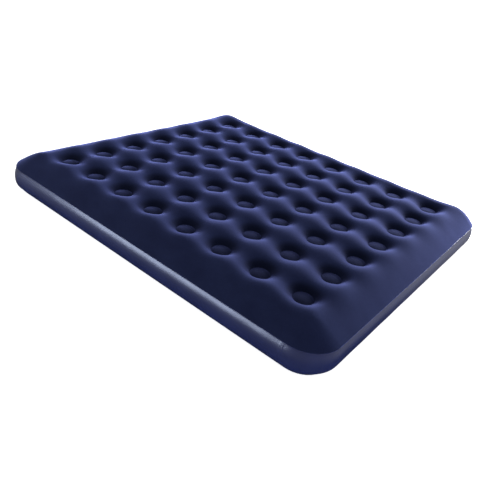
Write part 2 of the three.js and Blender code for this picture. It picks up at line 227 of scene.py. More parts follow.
def loop_strip(faces, start_a, start_b, count):
    """Quads between two closed loops of count points each, a outside b, both anticlockwise from above."""
    for k in range(count):
        n = (k + 1) % count
        faces.append((start_a + k, start_a + n, start_b + n, start_b + k))


def smooth(t):
    t = np.clip(t, 0, 1)
    return t * t * (3 - 2 * t)


# ---- Outline of the mattress ----
def rounded_loop(inset, stops_x, stops_y):
    """Points round the mattress at an inset, anticlockwise: side points at the stops, arcs at the corners."""
    hx, hy = LENGTH / 2 - inset, WIDTH / 2 - inset
    r = max(CORNER_R - inset, 0.0)
    points = []

    def corner(sx, sy, start):
        for k in range(CORNER_STEPS + 1):
            a = start + k / CORNER_STEPS * math.pi / 2
            points.append((sx * (hx - r) + r * math.cos(a), sy * (hy - r) + r * math.sin(a)))

    points += [(x, -hy) for x in stops_x]
    corner(1, -1, -math.pi / 2)
    points += [(hx, y) for y in stops_y]
    corner(1, 1, 0)
    points += [(x, hy) for x in reversed(stops_x)]
    corner(-1, 1, math.pi / 2)
    points += [(-hx, y) for y in reversed(stops_y)]
    corner(-1, -1, math.pi)
    return points


def field_loop(stops_x, stops_y):
    """The tie field's rectangular edge, with its corners repeated to match rounded_loop point by point."""
    many = CORNER_STEPS + 1
    return (
        [(x, -FIELD_Y) for x in stops_x]
        + [(FIELD_X, -FIELD_Y)] * many
        + [(FIELD_X, y) for y in stops_y]
        + [(FIELD_X, FIELD_Y)] * many
        + [(x, FIELD_Y) for x in reversed(stops_x)]
        + [(-FIELD_X, FIELD_Y)] * many
        + [(-FIELD_X, y) for y in reversed(stops_y)]
        + [(-FIELD_X, -FIELD_Y)] * many
    )


def inset_of(x, y):
    """Distance from the mattress's outline, inwards."""
    qx = np.abs(x) - CORE_X
    qy = np.abs(y) - CORE_Y
    outside = np.hypot(np.maximum(qx, 0), np.maximum(qy, 0))
    return CORNER_R - outside - np.minimum(np.maximum(qx, qy), 0)


def outward_at(x, y):
    """Level unit vectors straight out of the mattress's outline."""
    out_x = x - np.clip(x, -CORE_X, CORE_X)
    out_y = y - np.clip(y, -CORE_Y, CORE_Y)
    long = np.maximum(np.hypot(out_x, out_y), 1e-6)
    return np.column_stack([out_x / long, out_y / long, np.zeros_like(x)])


# ---- Surface of the top ----
def film_rise(dx, dy):
    """Height, to a constant, of a film under pressure near one of the grid of points that hold it down."""
    total = -math.pi * dy**2 / (PITCH_X * PITCH_Y)
    wave = 2 * math.pi / PITCH_X
    for row in range(-2, 3):
        from_row = np.cosh(wave * (dy - row * PITCH_Y)) - np.cos(wave * dx)
        total = total + 0.5 * np.log(2 * from_row + 1e-12)
    return total


RISE_LOW = float(film_rise(np.array(DISC_R), np.array(0.0)))
RISE_HIGH = float(film_rise(np.array(PITCH_X / 2), np.array(PITCH_Y / 2)))


def nearest_tie(x, y):
    """Offset from the nearest tie, and a number that differs from tie to tie."""
    xf, yf = np.clip(x, -FIELD_X, FIELD_X), np.clip(y, -FIELD_Y, FIELD_Y)
    i = np.clip(np.round(xf / PITCH_X + (TIES_X - 1) / 2), 0, TIES_X - 1)
    j = np.clip(np.round(yf / PITCH_Y + (TIES_Y - 1) / 2), 0, TIES_Y - 1)
    return xf - (i - (TIES_X - 1) / 2) * PITCH_X, yf - (j - (TIES_Y - 1) / 2) * PITCH_Y, i * 9 + j


def pit_dip(dx, dy, which):
    """How far the ties pull the film down, from nothing on the crowns to the full depth on a disc."""
    rise = np.clip((film_rise(dx, dy) - RISE_LOW) / (RISE_HIGH - RISE_LOW), 0, 1)
    crown = (1 - np.cos(2 * math.pi * (dx / PITCH_X))) * (1 - np.cos(2 * math.pi * (dy / PITCH_Y))) / 4
    near = smooth((VARIES_WITHIN - np.hypot(dx, dy)) / VARIES_FADE)
    depth = PIT_DEPTH - PIT_VARIES * (1 + np.sin(which * 2.3)) * near
    return (depth - BUMP) * (1 - rise) + BUMP * (1 - crown)


def margin_fade(x, y):
    """1 among the ties, falling to 0 across the margin."""
    past_x = np.maximum(np.abs(x) - (FIELD_X - PITCH_X / 2 + FADE_FROM), 0)
    past_y = np.maximum(np.abs(y) - (FIELD_Y - PITCH_Y / 2 + FADE_FROM), 0)
    return np.exp(-((np.hypot(past_x, past_y) / FADE) ** 2))


def shoulder_height(x, y):
    """Height of the sheet without its pits: a quarter of a sine wave from the seam to the full height."""
    end = np.clip((np.abs(x) - LENGTH / 2) / CORNER_REACH + 1, 0, 1)
    back = np.clip((y - WIDTH / 2) / CORNER_REACH + 1, 0, 1)
    shoulder = SHOULDER * (1 - CORNER_FULLER * end * back)
    turn = np.clip((inset_of(x, y) - SEAM_INSET) / shoulder, 0, 1) * math.pi / 2
    return SEAM_Z + (HEIGHT - SEAM_Z) * np.sin(turn)


def top_height(x, y):
    dx, dy, which = nearest_tie(x, y)
    r = np.hypot(dx, dy)
    dip = pit_dip(dx, dy, which)
    puff = DOME * np.clip(1 - (r / DISC_R) ** 2, 0, 1)
    angle = np.arctan2(dy, dx)
    near = smooth((r - DISC_R) / PUCKER_START) * np.exp(-(((r - DISC_R) / PUCKER_REACH) ** 2))
    pucker = PUCKER * near * np.sin(9 * angle + which) * np.sin(5 * angle + 2 * which)
    ripple = RIPPLE * np.sin(x * 23 + 1.7 * np.sin(y * 11)) * smooth(inset_of(x, y) / RIPPLE_START)
    return shoulder_height(x, y) - dip * margin_fade(x, y) + puff + pucker + ripple - RIPPLE_ROOM


# ---- The two sheets ----
def stops(half, cells, per_side):
    count = cells * per_side
    return [-half + 2 * half * k / count for k in range(1, count)]


def cell_edge(per_side):
    """Points round the edge of one tie's cell, anticlockwise."""
    hx, hy = PITCH_X / 2, PITCH_Y / 2
    edge = [(-hx + 2 * hx * k / per_side, -hy) for k in range(per_side)]
    edge += [(hx, -hy + 2 * hy * k / per_side) for k in range(per_side)]
    edge += [(hx - 2 * hx * k / per_side, hy) for k in range(per_side)]
    edge += [(-hx, hy - 2 * hy * k / per_side) for k in range(per_side)]
    return np.array(edge)


def quilt(radii, margin, height, per_side, blend_rings):
    """A whole sheet's surface: a fan of rings in every tie's cell, and loops round the margin."""
    verts, faces = [], []
    edge = cell_edge(per_side)
    unit = edge / np.hypot(edge[:, 0], edge[:, 1])[:, None]
    rings = [unit * r for r in radii]
    for k in range(1, blend_rings + 1):
        t = k / blend_rings
        rings.append(unit * radii[-1] * (1 - t) + edge * t)
    count = len(edge)
    for cx, cy in [(x, y) for x in TIE_XS for y in TIE_YS]:
        start = len(verts)
        verts.append((cx, cy))
        for ring in rings:
            verts += [(cx + p[0], cy + p[1]) for p in ring]
        for k in range(count):
            faces.append((start, start + 1 + k, start + 1 + (k + 1) % count))
        for n in range(len(rings) - 1):
            loop_strip(faces, start + 1 + (n + 1) * count, start + 1 + n * count, count)
    stops_x, stops_y = stops(FIELD_X, TIES_X, per_side), stops(FIELD_Y, TIES_Y, per_side)
    loops = [field_loop(stops_x, stops_y)] + [rounded_loop(i, stops_x, stops_y) for i in margin]
    for n, loop in enumerate(loops):
        verts += loop
        if n:
            loop_strip(faces, len(verts) - len(loop), len(verts) - 2 * len(loop), len(loop))
    flat = np.array(verts)
    z = height(flat[:, 0], flat[:, 1])
    return np.column_stack([flat, z]), faces, len(loops[0])


def make_top():
    margin = TOP_MARGIN + (SEAM_INSET,)
    verts, faces, count = quilt(TOP_RINGS, margin, top_height, per_side=12, blend_rings=4)
    rim = verts[-count:].copy()
    for out, z in LIP:
        ring = rim.copy()
        scale = 1 + out / np.hypot(rim[:, 0], rim[:, 1])
        ring[:, 0] *= scale
        ring[:, 1] *= scale
        ring[:, 2] = z
        verts = np.vstack([verts, ring])
        loop_strip(faces, len(verts) - count, len(verts) - 2 * count, count)
    obj = new_object("flocked_top", *merged(verts, faces))
    return solidify(obj, FLOCKED_FILM)


def bottom_height(x, y):
    dx, dy, _ = nearest_tie(x, y)
    r = np.hypot(dx, dy)
    rise = BOTTOM_PIT * (1 - np.clip((r - DISC_R) / (BOTTOM_RIM - DISC_R), 0, 1)) ** 2
    dome = BOTTOM_DOME * np.clip(1 - (r / DISC_R) ** 2, 0, 1)
    inset = inset_of(x, y)
    edge = np.interp(inset, BOTTOM_EDGE[::-1, 0], BOTTOM_EDGE[::-1, 1])
    return np.where(inset > BOTTOM_EDGE[0, 0], rise - dome, edge)


def make_underside():
    margin = tuple(BOTTOM_EDGE[1:, 0])
    verts, faces, _ = quilt(BOTTOM_RINGS, margin, bottom_height, per_side=8, blend_rings=2)
    verts, faces = merged(verts, faces)
    obj = new_object("underside", verts, [f[::-1] for f in faces])
    return solidify(obj, FILM)


# ---- Side band and seams ----
def through(points, per_step):
    """A smooth line through the points, with per_step steps between each two."""
    padded = np.vstack([2 * points[0] - points[1], points, 2 * points[-1] - points[-2]])
    out = []
    for k in range(1, len(padded) - 2):
        a, b, c, d = padded[k - 1 : k + 3]
        for step in range(per_step):
            t = step / per_step
            bend = 2 * a - 5 * b + 4 * c - d
            twist = 3 * b - a - 3 * c + d
            out.append(0.5 * (2 * b + (c - a) * t + bend * t**2 + twist * t**3))
    out.append(points[-1])
    return np.array(out)


def outline_at(columns):
    """Places on the mattress's outline: the point of the straight core, and the outward direction there."""
    places = []
    for side, (sx, sy, start) in enumerate(((1, -1, -90), (1, 1, 0), (-1, 1, 90), (-1, -1, 180))):
        turn = math.radians(start)
        tangent = np.array((-math.sin(turn), math.cos(turn)))
        normal = np.array((math.cos(turn), math.sin(turn)))
        half, across = (CORE_X, CORE_Y) if side % 2 == 0 else (CORE_Y, CORE_X)
        for s in columns[side]:
            places.append((normal * across + tangent * s * half, normal))
        for k in range(1, BAND_CORNER_STEPS):
            a = math.radians(start + 90 * k / BAND_CORNER_STEPS)
            places.append((np.array((sx * CORE_X, sy * CORE_Y)), np.array((math.cos(a), math.sin(a)))))
    return places


def swept(profile, columns):
    """A closed ring with the outside profile [inset, height], from low to high, swept round the outline."""
    places = outline_at(columns)
    count, rows = len(places), len(profile)
    verts = np.zeros((count * rows, 3))
    for c, (core, normal) in enumerate(places):
        reach = core[None, :] + normal[None, :] * (CORNER_R - profile[:, :1])
        verts[c * rows : (c + 1) * rows, :2] = reach
        verts[c * rows : (c + 1) * rows, 2] = profile[:, 1]
    faces = []
    for c in range(count):
        n = (c + 1) % count
        faces += [(c * rows + r, n * rows + r, n * rows + r + 1, c * rows + r + 1) for r in range(rows - 1)]
    return verts, faces


def even(count):
    return [-1 + 2 * k / count for k in range(count + 1)]


def band_columns():
    """Where the band's columns stand along each side, closer together at the lap and at the valve."""
    at_lap = [(LAP_X + o) / CORE_X for o in np.linspace(-0.014, 0.014, 15)]
    at_valve = [-(VALVE.y + o) / CORE_Y for o in np.linspace(-0.045, 0.045, 31)]
    return sorted(even(70) + at_lap), even(60), even(70), sorted(even(60) + at_valve)


def band_relief(x, y, z):
    """How far the band stands out of its plain profile: slack, gathers under the top seam, and the lap."""
    mid = smooth((z - SLACK_FROM) / SLACK_FADE) * smooth((BAND_TOP - z) / SLACK_FADE)
    slack = SLACK * np.sin(17 * x + 3 * np.sin(5 * y)) * np.sin(13 * y + 1) * mid
    gather = GATHER * np.sin(150 * (x - y) + 4 * np.sin(9 * x))
    gather *= smooth((z - GATHER_LOW) / GATHER_LOW_FADE)
    gather *= smooth((GATHER_HIGH - z) / GATHER_HIGH_FADE)
    lap = LAP_RISE * smooth((LAP_HALF - np.abs(x - LAP_X)) / LAP_FADE) * (y < -CORE_Y)
    return -np.abs(slack) + gather - SLACK + lap * mid


def flatten_at_valve(verts):
    """Lays the band flat behind the valve's flange, with small folds round it."""
    from_valve = np.hypot(verts[:, 1] - VALVE.y, verts[:, 2] - VALVE.z)
    on_side = (verts[:, 0] < -CORE_X).astype(float)
    weight = on_side * (1 - smooth((from_valve - FLAT_R) / FLAT_FADE))
    angle = np.arctan2(verts[:, 2] - VALVE.z, verts[:, 1] - VALVE.y)
    fold = FOLD * np.cos(11 * angle) * on_side * smooth((from_valve - FOLD_FROM) / FOLD_START)
    fold *= np.exp(-(((from_valve - FLAT_R) / FOLD_REACH) ** 2))
    flat = -LENGTH / 2 + FLAT_HEIGHT
    verts[:, 0] = verts[:, 0] * (1 - weight) + flat * weight + np.maximum(fold, 0)


def cut_valve_hole(obj):
    section = [(0.0, -HOLE_HALF), (HOLE_R, -HOLE_HALF), (HOLE_R, HOLE_HALF), (0.0, HOLE_HALF)]
    cutter = lathe("cutter", section, 48)
    mod = obj.modifiers.new("hole", "BOOLEAN")
    mod.object = cutter
    mod.operation = "DIFFERENCE"
    mod.solver = "EXACT"
    apply_modifiers(obj)
    bpy.data.objects.remove(cutter)


def make_band():
    verts, faces = swept(through(BAND_PROFILE, BAND_STEPS), band_columns())
    x, y, z = verts.T
    near_edge = 1 - smooth(inset_of(x, y) / BAND_RELIEF_WITHIN)
    verts = verts + outward_at(x, y) * (band_relief(x, y, z) * near_edge)[:, None]
    flatten_at_valve(verts)
    obj = new_object("side_wall", *merged(verts, faces))
    solidify(obj, FILM)
    cut_valve_hole(obj)
    return obj


def ring_bead(name, inset, height, radius):
    """A round bead swept round the mattress."""
    turns = np.linspace(0, 2 * math.pi, 11)
    profile = [(inset + radius * math.cos(a), height + radius * math.sin(a)) for a in turns]
    verts, faces = swept(np.array(profile[::-1]), (even(40), even(36), even(40), even(36)))
    return new_object(name, *merged(verts, faces))


def make_lap_strip():
    """The strip on the inside of the lap."""
    low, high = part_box("side_band_lap_strip")
    profile = through(BAND_PROFILE[2:-2] + np.array((STRIP_INSET, 0.0)), 2)
    verts, faces = [], []
    for x in np.linspace(low[0], high[0], STRIP_COLUMNS):
        verts += [(x, -WIDTH / 2 + inset, z) for inset, z in profile]
    rows = len(profile)
    for c in range(STRIP_COLUMNS - 1):
        a, b = c * rows, (c + 1) * rows
        faces += [(a + r, b + r, b + r + 1, a + r + 1) for r in range(rows - 1)]
    return solidify(new_object("band_lap_strip", verts, faces), FILM)


# ---- Coil beams ----
def beam_outline():
    """Plan of one beam: a slit tube at every tie along X, joined by a web, as one closed line."""
    inner = DISC_R - BEAM_WALL
    front = [(DISC_R, (180,), -BEAM_WEB), (DISC_R, range(195, 346, 15), 0.0), (DISC_R, (0,), -BEAM_WEB)]
    back = [(DISC_R, (0,), BEAM_WEB), (DISC_R, range(15, 75, 15), 0.0), (DISC_R, (90 - BEAM_SLIT,), 0.0)]
    back += [(inner, (90 - BEAM_SLIT,), 0.0), (inner, range(60, -256, -15), 0.0)]
    back += [(inner, (-270 + BEAM_SLIT,), 0.0), (DISC_R, (90 + BEAM_SLIT,), 0.0)]
    back += [(DISC_R, range(120, 180, 15), 0.0), (DISC_R, (180,), BEAM_WEB)]
    line = []
    for arcs, centres in ((front, TIE_XS), (back, TIE_XS[::-1])):
        for cx in centres:
            for radius, degrees, shift in arcs:
                turns = [math.radians(a) for a in degrees]
                line += [(cx + radius * math.cos(a), radius * math.sin(a) + shift) for a in turns]
    return line


def make_beam(number):
    low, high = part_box(f"coil_beam_{number}")
    line = beam_outline()
    centre_y = TIE_YS[number - 1]
    verts, faces = [], []
    for k in range(BEAM_LEVELS):
        t = k / (BEAM_LEVELS - 1)
        waist = 1 - BEAM_WAIST * math.sin(math.pi * t)
        verts += [(x, centre_y + y * waist, low[2] + (high[2] - low[2]) * t) for x, y in line]
    n = len(line)
    for k in range(BEAM_LEVELS - 1):
        for i in range(n):
            j = (i + 1) % n
            faces.append((k * n + i, k * n + j, (k + 1) * n + j, (k + 1) * n + i))
    faces += [tuple(reversed(range(n))), tuple(range((BEAM_LEVELS - 1) * n, BEAM_LEVELS * n))]
    obj = new_object(f"beam_{number}", verts, faces)
    for end in (1, 2):
        obj.data.polygons[len(faces) - end].use_smooth = False
    return obj


# ---- Valve ----
def in_mm(*pairs):
    return [(r * MM, z * MM) for r, z in pairs]


def placed(name, verts, faces):
    """A valve piece from local points: x along +Y, y along -Z, z out of the mattress."""
    return new_object(name, [VALVE_FRAME @ Vector(v) for v in verts], faces)


def lathe(name, profile, count, shaped=None):
    """A piece turned about the valve's axis. Its profile closes on itself unless it starts on the axis."""
    verts, faces = [], []
    rows = len(profile)
    for c in range(count):
        a = 2 * math.pi * c / count
        for r, z in profile:
            radius = shaped(r, z, a) if shaped else r
            verts.append((radius * math.cos(a), radius * math.sin(a), z))
    last = rows if profile[0][0] > 0 else rows - 1
    for c in range(count):
        n = (c + 1) % count
        for r in range(last):
            s = (r + 1) % rows
            faces.append((c * rows + r, n * rows + r, n * rows + s, c * rows + s))
    return outward(placed(name, *merged(verts, faces)))


def slab(name, low, high, round_end=0.0, edge=0.0003):
    """A flat bar between two local corners. round_end rounds the corners of its plan."""
    plan = ((low[0], low[1]), (high[0], low[1]), (high[0], high[1]), (low[0], high[1]))
    verts = [(x, y, z) for z in (low[2], high[2]) for x, y in plan]
    faces = [(0, 3, 2, 1), (4, 5, 6, 7), (0, 1, 5, 4), (1, 2, 6, 5), (2, 3, 7, 6), (3, 0, 4, 7)]
    obj = placed(name, verts, faces)
    if round_end:
        bm = bmesh.new()
        bm.from_mesh(obj.data)
        upright = [e for e in bm.edges if abs((e.verts[0].co - e.verts[1].co).x) > 1e-6]
        bmesh.ops.bevel(bm, geom=upright, offset=round_end, segments=6, profile=0.5, affect="EDGES")
        bm.to_mesh(obj.data)
        bm.free()
    return bevel(obj, edge)


def make_valve_flange():
    profile = in_mm((17.5, -11), (20, -11), (20, 0.25), (27.2, 0.25), (27.8, 0.4), (28, 0.8), (27.8, 1.2))
    profile += in_mm((27.1, 1.45), (25.4, 1.5), (25.0, 1.35), (24.6, 1.5), (23.9, 1.5), (23.5, 1.35))
    profile += in_mm((23.1, 1.5), (22.4, 1.85), (21.6, 1.9), (17.9, 1.9), (17.5, 1.5))
    return lathe("valve_flange", profile, 96)


def make_gasket():
    profile = in_mm((18.0, 2.4), (18.2, 2.2), (21.3, 2.2), (21.5, 2.4), (21.5, 3.2), (21.3, 3.4), (18.2, 3.4))
    profile += in_mm((18.0, 3.2))
    return lathe("valve_gasket_ring", profile, 72)


def collar_radius(r, z, a):
    """Finger notches round the collar's head, and a right-hand thread on its tube."""
    if r > NOTCH_FROM:
        return r - NOTCH_DEPTH * max(0.0, math.cos(NOTCHES * a)) ** 6
    if r > THREAD_FROM:
        return r + THREAD_HEIGHT * max(0.0, math.cos(2 * math.pi * z / THREAD_PITCH - a)) ** 2
    return r


def make_collar():
    profile = in_mm((12.6, -7.8), (12.6, 8.5), (12.9, 9.2), (13.5, 9.6), (14.2, 9.7), (16.0, 9.7))
    profile += in_mm((16.4, 9.45), (19.6, 9.45), (20.0, 9.7), (21.6, 9.7), (22.4, 9.4), (22.9, 8.7))
    profile += in_mm((23.0, 8.0), (23.0, 5.2), (22.8, 4.3), (22.2, 3.75), (21.4, 3.7), (17.3, 3.7))
    profile += [(TUBE_R, z * MM) for z in np.linspace(TUBE_TOP_MM, TUBE_END_MM, 23)]
    profile += in_mm((16.5, -8.0), (12.9, -8.0))
    return lathe("valve_screw_collar", profile, 160, collar_radius)


def make_flap_seat():
    """A ring and a hub joined by spokes, which hold the check flap's stem."""
    ring = lathe("seat_ring", in_mm((10.3, -7.7), (12.2, -7.7), (12.2, -5.7), (10.3, -5.7)), 64)
    hub = lathe("seat_hub", in_mm((2.1, -7.7), (4.1, -7.7), (4.1, -5.9), (3.8, -5.7), (2.1, -5.7)), 40)
    spokes = []
    for k in range(SPOKES):
        low, high = (-0.9 * MM, 3.6 * MM, -7.7 * MM), (0.9 * MM, 10.8 * MM, -5.9 * MM)
        spoke = slab(f"spoke_{k}", low, high, edge=0.0002)
        turn = VALVE_FRAME @ Matrix.Rotation(2 * math.pi * k / SPOKES, 4, "Z") @ VALVE_FRAME.inverted()
        spoke.data.transform(turn)
        spokes.append(spoke)
    return joined("valve_flap_seat", ring, hub, *spokes)


def make_check_flap():
    """A flat disc on a stem through the seat's hub, with a barbed head beyond it."""
    profile = in_mm((0, -8.75), (3.0, -8.8), (10.9, -8.7), (11.3, -8.45), (11.2, -8.15), (9.0, -8.0))
    profile += in_mm((2.6, -8.0), (1.8, -7.6), (1.7, -7.0), (1.7, -3.1), (1.9, -2.9), (2.9, -2.9))
    profile += in_mm((3.0, -2.6), (1.3, -1.2), (0.8, -1.1), (0, -1.1))
    return lathe("valve_check_flap", profile, 56)


def make_cap():
    """The plug and its lid, with an ear for the hinge and a ridged tab for the finger."""
    profile = in_mm((0, 4.9), (10.4, 4.8), (11.0, 5.0), (11.25, 5.5), (11.6, 7.4), (11.85, 7.7), (11.6, 8.0))
    profile += in_mm((11.8, 9.7), (12.3, 10.0), (15.1, 10.0), (15.5, 10.3), (15.5, 11.1), (15.1, 11.5))
    profile += in_mm((14.4, 11.6), (10.6, 11.6), (10.1, 11.45), (9.5, 11.0), (9.0, 10.85), (0, 10.85))
    lid = lathe("lid", profile, 96)
    ear = slab("ear", (-HINGE_HALF, -17.2 * MM, CAP_LOW), (HINGE_HALF, -14.2 * MM, CAP_TOP))
    tab = slab("tab", (-4.5 * MM, 13.8 * MM, CAP_LOW), (4.5 * MM, 22.0 * MM, CAP_TOP), round_end=0.0028)
    ridges = []
    for k, y in enumerate((17.0, 18.4, 19.8)):
        low, high = (-2.8 * MM, y * MM, CAP_TOP - 0.0004), (2.8 * MM, (y + 0.6) * MM, CAP_TOP + 0.0003)
        ridges.append(slab(f"ridge_{k}", low, high, edge=0.00015))
    return joined("valve_cap", lid, ear, tab, *ridges)


def make_strap():
    low, high = (-HINGE_HALF, -22.4 * MM, COLLAR_TOP), (HINGE_HALF, -17.6 * MM, CAP_TOP)
    return slab("valve_cap_strap", low, high, round_end=0.0012)


def make_hinge_film():
    """The thin living hinge between the strap and the cap."""
    steps = 24
    low, high = CAP_TOP - 0.0006, CAP_TOP - 0.0001
    section = ((-3.0, low), (3.0, low), (3.0, high), (-3.0, high))
    verts, faces = [], []
    for k in range(steps + 1):
        y = (-19.0 + 3.4 * k / steps) * MM
        verts += [(x * MM, y, z) for x, z in section]
    for k in range(steps):
        faces += [(4 * k + i, 4 * k + (i + 1) % 4, 4 * k + 4 + (i + 1) % 4, 4 * k + 4 + i) for i in range(4)]
    faces += [(3, 2, 1, 0), tuple(4 * steps + i for i in range(4))]
    return outward(placed("valve_hinge_film", verts, faces))


# ---- Materials ----
FLOCK_DARK, FLOCK_LIGHT = (0.0062, 0.0087, 0.027), (0.0168, 0.0240, 0.074)
FLOCK_SHEEN, FLOCK_SHEEN_ROUGH = 0.72, 0.36
FLOCK_SHEEN_TINT = (0.28, 0.34, 0.92, 1)
FIBRES, TUFTS, BRUSHING = 1100, 260, 5.5  # noise scales, in waves per metre
PIT_SHADE_FROM, PIT_SHADE_TO, PIT_SHADE_DARKEST = 0.058, 0.092, 0.35  # radii round a tie over which the painted shade in a pit fades out, and how dark that painted shade is at the tie
MARGIN_BLEND = 0.002


def tree_of(name):
    """A new material, its nodes and links, its shader, and the place of the shaded point."""
    mat = bpy.data.materials.new(name)
    mat.use_nodes = True
    nodes, links = mat.node_tree.nodes, mat.node_tree.links
    shader = nodes["Principled BSDF"]
    place = nodes.new("ShaderNodeTexCoord").outputs["Object"]
    return mat, nodes, links, shader, place


def noise(nodes, links, place, scale, detail, stretch=(1, 1, 1)):
    mapping = nodes.new("ShaderNodeMapping")
    mapping.inputs["Scale"].default_value = stretch
    links.new(place, mapping.inputs["Vector"])
    node = nodes.new("ShaderNodeTexNoise")
    node.inputs["Scale"].default_value = scale
    node.inputs["Detail"].default_value = detail
    links.new(mapping.outputs["Vector"], node.inputs["Vector"])
    return node.outputs["Fac"]


def ramp(nodes, links, value, colours):
    """Colours from a value, by (position, colour) pairs."""
    node = nodes.new("ShaderNodeValToRGB")
    for element, (at, colour) in zip(node.color_ramp.elements, colours):
        element.position = at
        element.color = (*colour, 1)
    links.new(value, node.inputs["Fac"])
    return node.outputs["Color"]


def mapped(nodes, links, value, source, target, interpolation="LINEAR"):
    """A value taken from the source range to the target range, and held at their ends."""
    node = nodes.new("ShaderNodeMapRange")
    node.interpolation_type = interpolation
    node.inputs["From Min"].default_value, node.inputs["From Max"].default_value = source
    node.inputs["To Min"].default_value, node.inputs["To Max"].default_value = target
    links.new(value, node.inputs["Value"])
    return node.outputs["Result"]


def multiplied(nodes, links, a, b):
    """One colour times another."""
    node = nodes.new("ShaderNodeMix")
    node.data_type = "RGBA"
    node.blend_type = "MULTIPLY"
    node.inputs["Factor"].default_value = 1.0
    links.new(a, node.inputs["A"])
    links.new(b, node.inputs["B"])
    return node.outputs["Result"]


def math_node(nodes, links, operation, *values):
    """A sum on values that are numbers or other nodes' outputs."""
    node = nodes.new("ShaderNodeMath")
    node.operation = operation
    for socket, value in zip(node.inputs, values):
        if isinstance(value, (int, float)):
            socket.default_value = value
        else:
            links.new(value, socket)
    return node.outputs["Value"]


def vector_node(nodes, links, operation, vector):
    node = nodes.new("ShaderNodeVectorMath")
    node.operation = operation
    links.new(vector, node.inputs[0])
    return node


def bump(nodes, links, shader, heights):
    """A chain of bumps: (height, distance in metres, strength)."""
    previous = None
    for height, distance, strength in heights:
        node = nodes.new("ShaderNodeBump")
        node.inputs["Distance"].default_value = distance
        node.inputs["Strength"].default_value = strength
        links.new(height, node.inputs["Height"])
        if previous:
            links.new(previous, node.inputs["Normal"])
        previous = node.outputs["Normal"]
    links.new(previous, shader.inputs["Normal"])


def pit_painted_shade(nodes, links, place):
    """Painted shade in the pits: 1 on the crowns and the margin, darker towards each tie, where the pits'
    shade falls.
    """
    parts = nodes.new("ShaderNodeSeparateXYZ")
    links.new(place, parts.inputs[0])
    offset = nodes.new("ShaderNodeCombineXYZ")
    past_field = []
    for axis, pitch, count in (("X", PITCH_X, TIES_X), ("Y", PITCH_Y, TIES_Y)):
        cell = math_node(nodes, links, "MULTIPLY_ADD", parts.outputs[axis], 1 / pitch, count / 2)
        inside = math_node(nodes, links, "SUBTRACT", math_node(nodes, links, "FRACT", cell), 0.5)
        links.new(math_node(nodes, links, "MULTIPLY", inside, pitch), offset.inputs[axis])
        half = pitch * count / 2
        from_middle = math_node(nodes, links, "ABSOLUTE", parts.outputs[axis])
        blend = (half - MARGIN_BLEND, half)
        past_field.append(mapped(nodes, links, from_middle, blend, (0, 1), "SMOOTHSTEP"))
    margin = math_node(nodes, links, "MAXIMUM", *past_field)
    from_tie = vector_node(nodes, links, "LENGTH", offset.outputs["Vector"]).outputs["Value"]
    pit = mapped(nodes, links, from_tie, (PIT_SHADE_FROM, PIT_SHADE_TO), (PIT_SHADE_DARKEST, 1), "SMOOTHSTEP")
    return math_node(nodes, links, "MAXIMUM", margin, pit)


def flocked():
    """Short dense pile: fine fibres, small tufts and broad brushed patches."""
    mat, nodes, links, shader, place = tree_of("flock_navy")
    fibre = noise(nodes, links, place, FIBRES, 2.0)
    tuft = noise(nodes, links, place, TUFTS, 3.0)
    brushed = noise(nodes, links, place, BRUSHING, 4.0, (1, 1.6, 1))
    fine = ramp(nodes, links, fibre, [(0.30, FLOCK_DARK), (0.72, FLOCK_LIGHT)])
    broad = ramp(nodes, links, brushed, [(0.35, (0.80, 0.80, 0.84)), (0.68, (1.12, 1.12, 1.10))])
    pile = multiplied(nodes, links, fine, broad)
    # The pits get painted shade, multiplied into the pile's colour.
    shaded = multiplied(nodes, links, pile, pit_painted_shade(nodes, links, place))
    links.new(shaded, shader.inputs["Base Color"])
    shader.inputs["Roughness"].default_value = 0.95
    shader.inputs["Specular IOR Level"].default_value = 0.03
    shader.inputs["Sheen Weight"].default_value = FLOCK_SHEEN
    shader.inputs["Sheen Roughness"].default_value = FLOCK_SHEEN_ROUGH
    shader.inputs["Sheen Tint"].default_value = FLOCK_SHEEN_TINT
    bump(nodes, links, shader, [(tuft, 0.0006, 0.25), (fibre, 0.0004, 0.35)])
    return mat


def vinyl(name, dark, light, rough, grain=900, grain_height=0.00006):
    """Soft plastic: a cloudy colour, a fine skin and shallow slack."""
    mat, nodes, links, shader, place = tree_of(name)
    cloud = noise(nodes, links, place, 9, 3.0)
    skin = noise(nodes, links, place, grain, 3.0)
    slack = noise(nodes, links, place, 34, 2.0)
    links.new(ramp(nodes, links, cloud, [(0.3, dark), (0.7, light)]), shader.inputs["Base Color"])
    uneven = mapped(nodes, links, skin, (0.3, 0.7), (rough - 0.04, rough + 0.05))
    links.new(uneven, shader.inputs["Roughness"])
    shader.inputs["IOR"].default_value = 1.42
    bump(nodes, links, shader, [(slack, 0.0006, 0.25), (skin, grain_height, 0.6)])
    return mat


FLOCK = flocked()
VINYL = vinyl("vinyl_navy", (0.0095, 0.0150, 0.074), (0.0125, 0.0195, 0.092), 0.30)
BEAM_VINYL = vinyl("vinyl_beam", (0.16, 0.18, 0.28), (0.22, 0.25, 0.36), 0.4)
PLASTIC = vinyl("valve_navy", (0.012, 0.016, 0.060), (0.018, 0.022, 0.080), 0.42, 1600, 0.00004)
SEAL = vinyl("seal_grey", (0.42, 0.43, 0.46), (0.52, 0.53, 0.56), 0.55, 1300, 0.00004)


# ---- The mattress ----
def piece(obj, material, body, node):
    """Gives a piece its material, ties it to the body, and hides the CAD node that it stands for."""
    obj.data.materials.clear()
    obj.data.materials.append(material)
    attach(obj, body)
    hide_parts(node)
    return obj


def squash(obj):
    """Gives a piece that stands on foot_z its own copy of its mesh."""
    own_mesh(obj)


